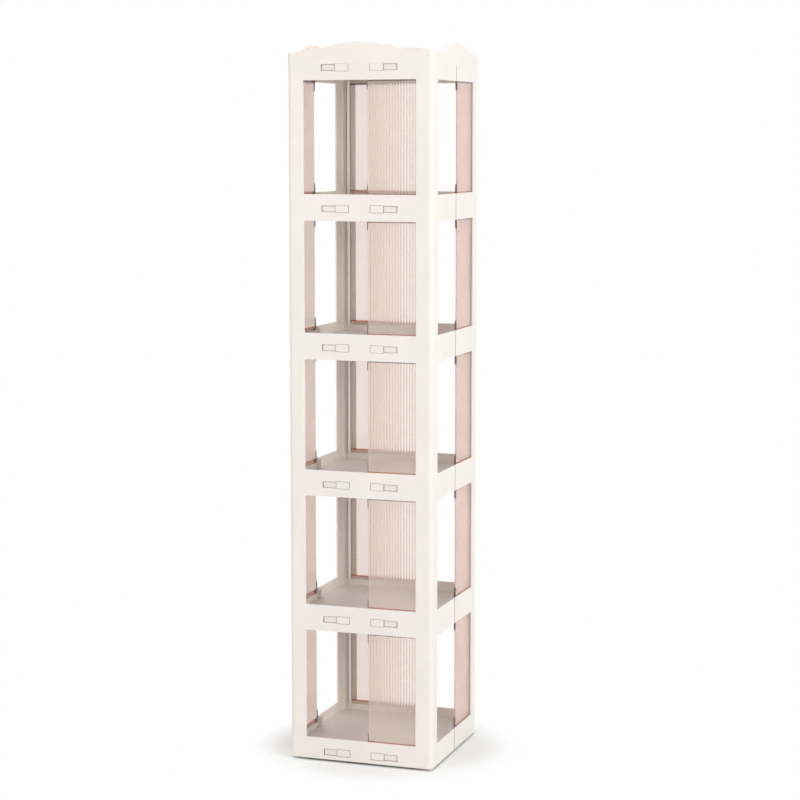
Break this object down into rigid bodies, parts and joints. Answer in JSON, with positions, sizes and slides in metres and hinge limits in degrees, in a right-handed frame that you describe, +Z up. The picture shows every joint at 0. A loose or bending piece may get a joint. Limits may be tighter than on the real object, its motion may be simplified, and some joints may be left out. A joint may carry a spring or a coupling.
{
  "type": "revolving bookcase",
  "caption": "Tall square revolving bookcase of cream half shells with open tiers, tabbed shelves, half-width fluted blush panels and an arched crown, on a ball-bearing turntable.",
  "frame": {"origin": "on the floor, at the centre of the turntable", "axes": "+Z up along the turning axis, -Y towards the front, whose rails show the shelf tabs, +X to the right seen from the front"},
  "size_m": [0.33, 0.33, 1.576],
  "materials": {
    "shell_plastic": "cream moulded plastic with a fine satin grain",
    "board_plastic": "cream moulded plastic, satin",
    "key_plastic": "cream moulded plastic, satin",
    "panel_plastic": "clear blush-pink sheet with upright flutes",
    "clip_plastic": "smoky taupe clear plastic",
    "base_steel": "black powder coat",
    "foot_rubber": "black moulded rubber",
    "race_steel": "zinc-plated steel",
    "screw_steel": "zinc-plated steel",
    "ball_steel": "polished steel",
    "cage_plastic": "natural nylon"
  },
  "bodies": {
    "base": {"base_plate": "base_steel", "rubber_feet": "foot_rubber", "lower_race": "race_steel", "lower_race_screws": "screw_steel", "pivot_bolt": "screw_steel", "pivot_washer": "screw_steel", "lock_nut": "screw_steel"},
    "ball_carrier": {"ball_cage": "cage_plastic", "bearing_balls": "ball_steel"},
    "tower": {"upper_race": "race_steel", "upper_race_screws": "screw_steel", "pivot_cap": "board_plastic", "front_shell": "shell_plastic", "rear_shell": "shell_plastic", "seam_clips_right": "shell_plastic", "seam_clips_left": "shell_plastic", "shelf_1": "board_plastic", "shelf_2": "board_plastic", "shelf_3": "board_plastic", "shelf_4": "board_plastic", "shelf_5": "board_plastic", "top_board": "board_plastic", "front_lock_keys": "key_plastic", "rear_lock_keys": "key_plastic", "panel_1_front": "panel_plastic", "panel_1_right": "panel_plastic", "panel_1_rear": "panel_plastic", "panel_1_left": "panel_plastic", "panel_2_front": "panel_plastic", "panel_2_right": "panel_plastic", "panel_2_rear": "panel_plastic", "panel_2_left": "panel_plastic", "panel_3_front": "panel_plastic", "panel_3_right": "panel_plastic", "panel_3_rear": "panel_plastic", "panel_3_left": "panel_plastic", "panel_4_front": "panel_plastic", "panel_4_right": "panel_plastic", "panel_4_rear": "panel_plastic", "panel_4_left": "panel_plastic", "panel_5_front": "panel_plastic", "panel_5_right": "panel_plastic", "panel_5_rear": "panel_plastic", "panel_5_left": "panel_plastic", "panel_clips_1": "clip_plastic", "panel_clips_2": "clip_plastic", "panel_clips_3": "clip_plastic", "panel_clips_4": "clip_plastic", "panel_clips_5": "clip_plastic"}
  },
  "joints": [
    {"name": "revolve", "type": "hinge", "parent": "base", "child": "tower", "pos_m": [0, 0, 0.01025], "axis": [0, 0, 1], "continuous": true},
    {"name": "ball_carrier_turn", "type": "hinge", "parent": "base", "child": "ball_carrier", "pos_m": [0, 0, 0.01025], "axis": [0, 0, 1], "continuous": true}
  ],
  "couplings": [
    {"joint": "ball_carrier_turn", "follows": "revolve", "ratio": 0.5}
  ]
}
